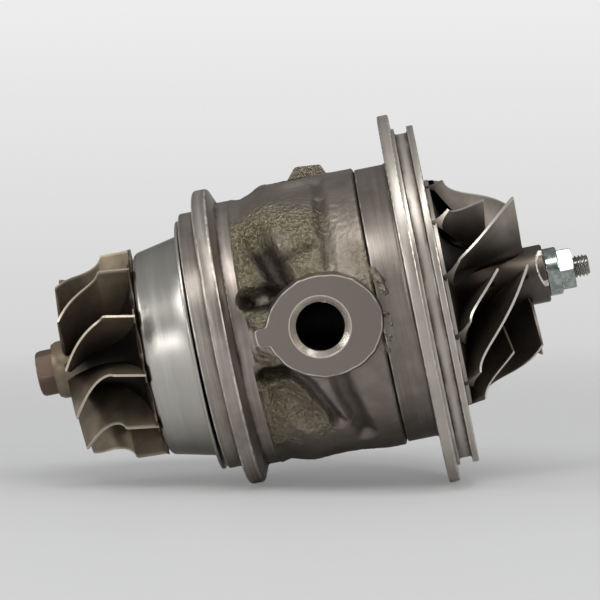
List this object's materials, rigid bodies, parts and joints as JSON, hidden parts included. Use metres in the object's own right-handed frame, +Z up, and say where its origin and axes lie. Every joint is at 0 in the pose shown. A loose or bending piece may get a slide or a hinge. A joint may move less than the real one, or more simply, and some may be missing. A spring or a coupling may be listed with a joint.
{
  "type": "turbo cartridge",
  "caption": "Turbocharger core: water-cooled bearing housing with a V-band flange, turbine and compressor wheels on one shaft, heat shield, oil and water ports.",
  "frame": {"origin": "on the shaft's axis in the turbine side face of the V-band flange", "axes": "+X along the shaft from the turbine to the compressor, +Z up through the oil inlet, a water port faces -Y"},
  "size_m": [0.1254, 0.0832, 0.0832],
  "materials": {
    "housing_iron": "cast, machined on its flanges",
    "shield_steel": "turned bright",
    "turbine_alloy": "investment cast, ground tips",
    "shaft_steel": "ground",
    "spring_steel": "satin",
    "bearing_bronze": "bored and turned",
    "wheel_aluminium": "cast, turned tips",
    "insert_aluminium": "turned",
    "seal_rubber": "matt",
    "nut_zinc": "bright zinc"
  },
  "bodies": {
    "housing": {"bearing_housing": "housing_iron", "heat_shield": "shield_steel", "turbine_piston_ring": "spring_steel", "turbine_outer_snap_ring": "spring_steel", "turbine_inner_snap_ring": "spring_steel", "compressor_inner_snap_ring": "spring_steel", "thrust_bearing": "bearing_bronze", "oil_deflector": "shield_steel", "seal_insert": "insert_aluminium", "insert_o_ring": "seal_rubber", "insert_snap_ring": "spring_steel", "compressor_piston_ring": "spring_steel", "thrust_dowel_near": "shaft_steel", "thrust_dowel_far": "shaft_steel"},
    "rotor": {"turbine_wheel": "turbine_alloy", "rotor_shaft": "shaft_steel", "thrust_ring": "shaft_steel", "thrust_sleeve": "shaft_steel", "compressor_wheel": "wheel_aluminium", "lock_nut": "nut_zinc"},
    "turbine_bearing": {"turbine_journal_bearing": "bearing_bronze"},
    "compressor_bearing": {"compressor_journal_bearing": "bearing_bronze"}
  },
  "joints": [
    {"name": "rotor_spin", "type": "hinge", "parent": "housing", "child": "rotor", "pos_m": [0, 0, 0], "axis": [1, 0, 0], "continuous": true},
    {"name": "turbine_bearing_spin", "type": "hinge", "parent": "housing", "child": "turbine_bearing", "pos_m": [0.0048, 0, 0], "axis": [1, 0, 0], "continuous": true},
    {"name": "compressor_bearing_spin", "type": "hinge", "parent": "housing", "child": "compressor_bearing", "pos_m": [0.03175, 0, 0], "axis": [1, 0, 0], "continuous": true}
  ]
}
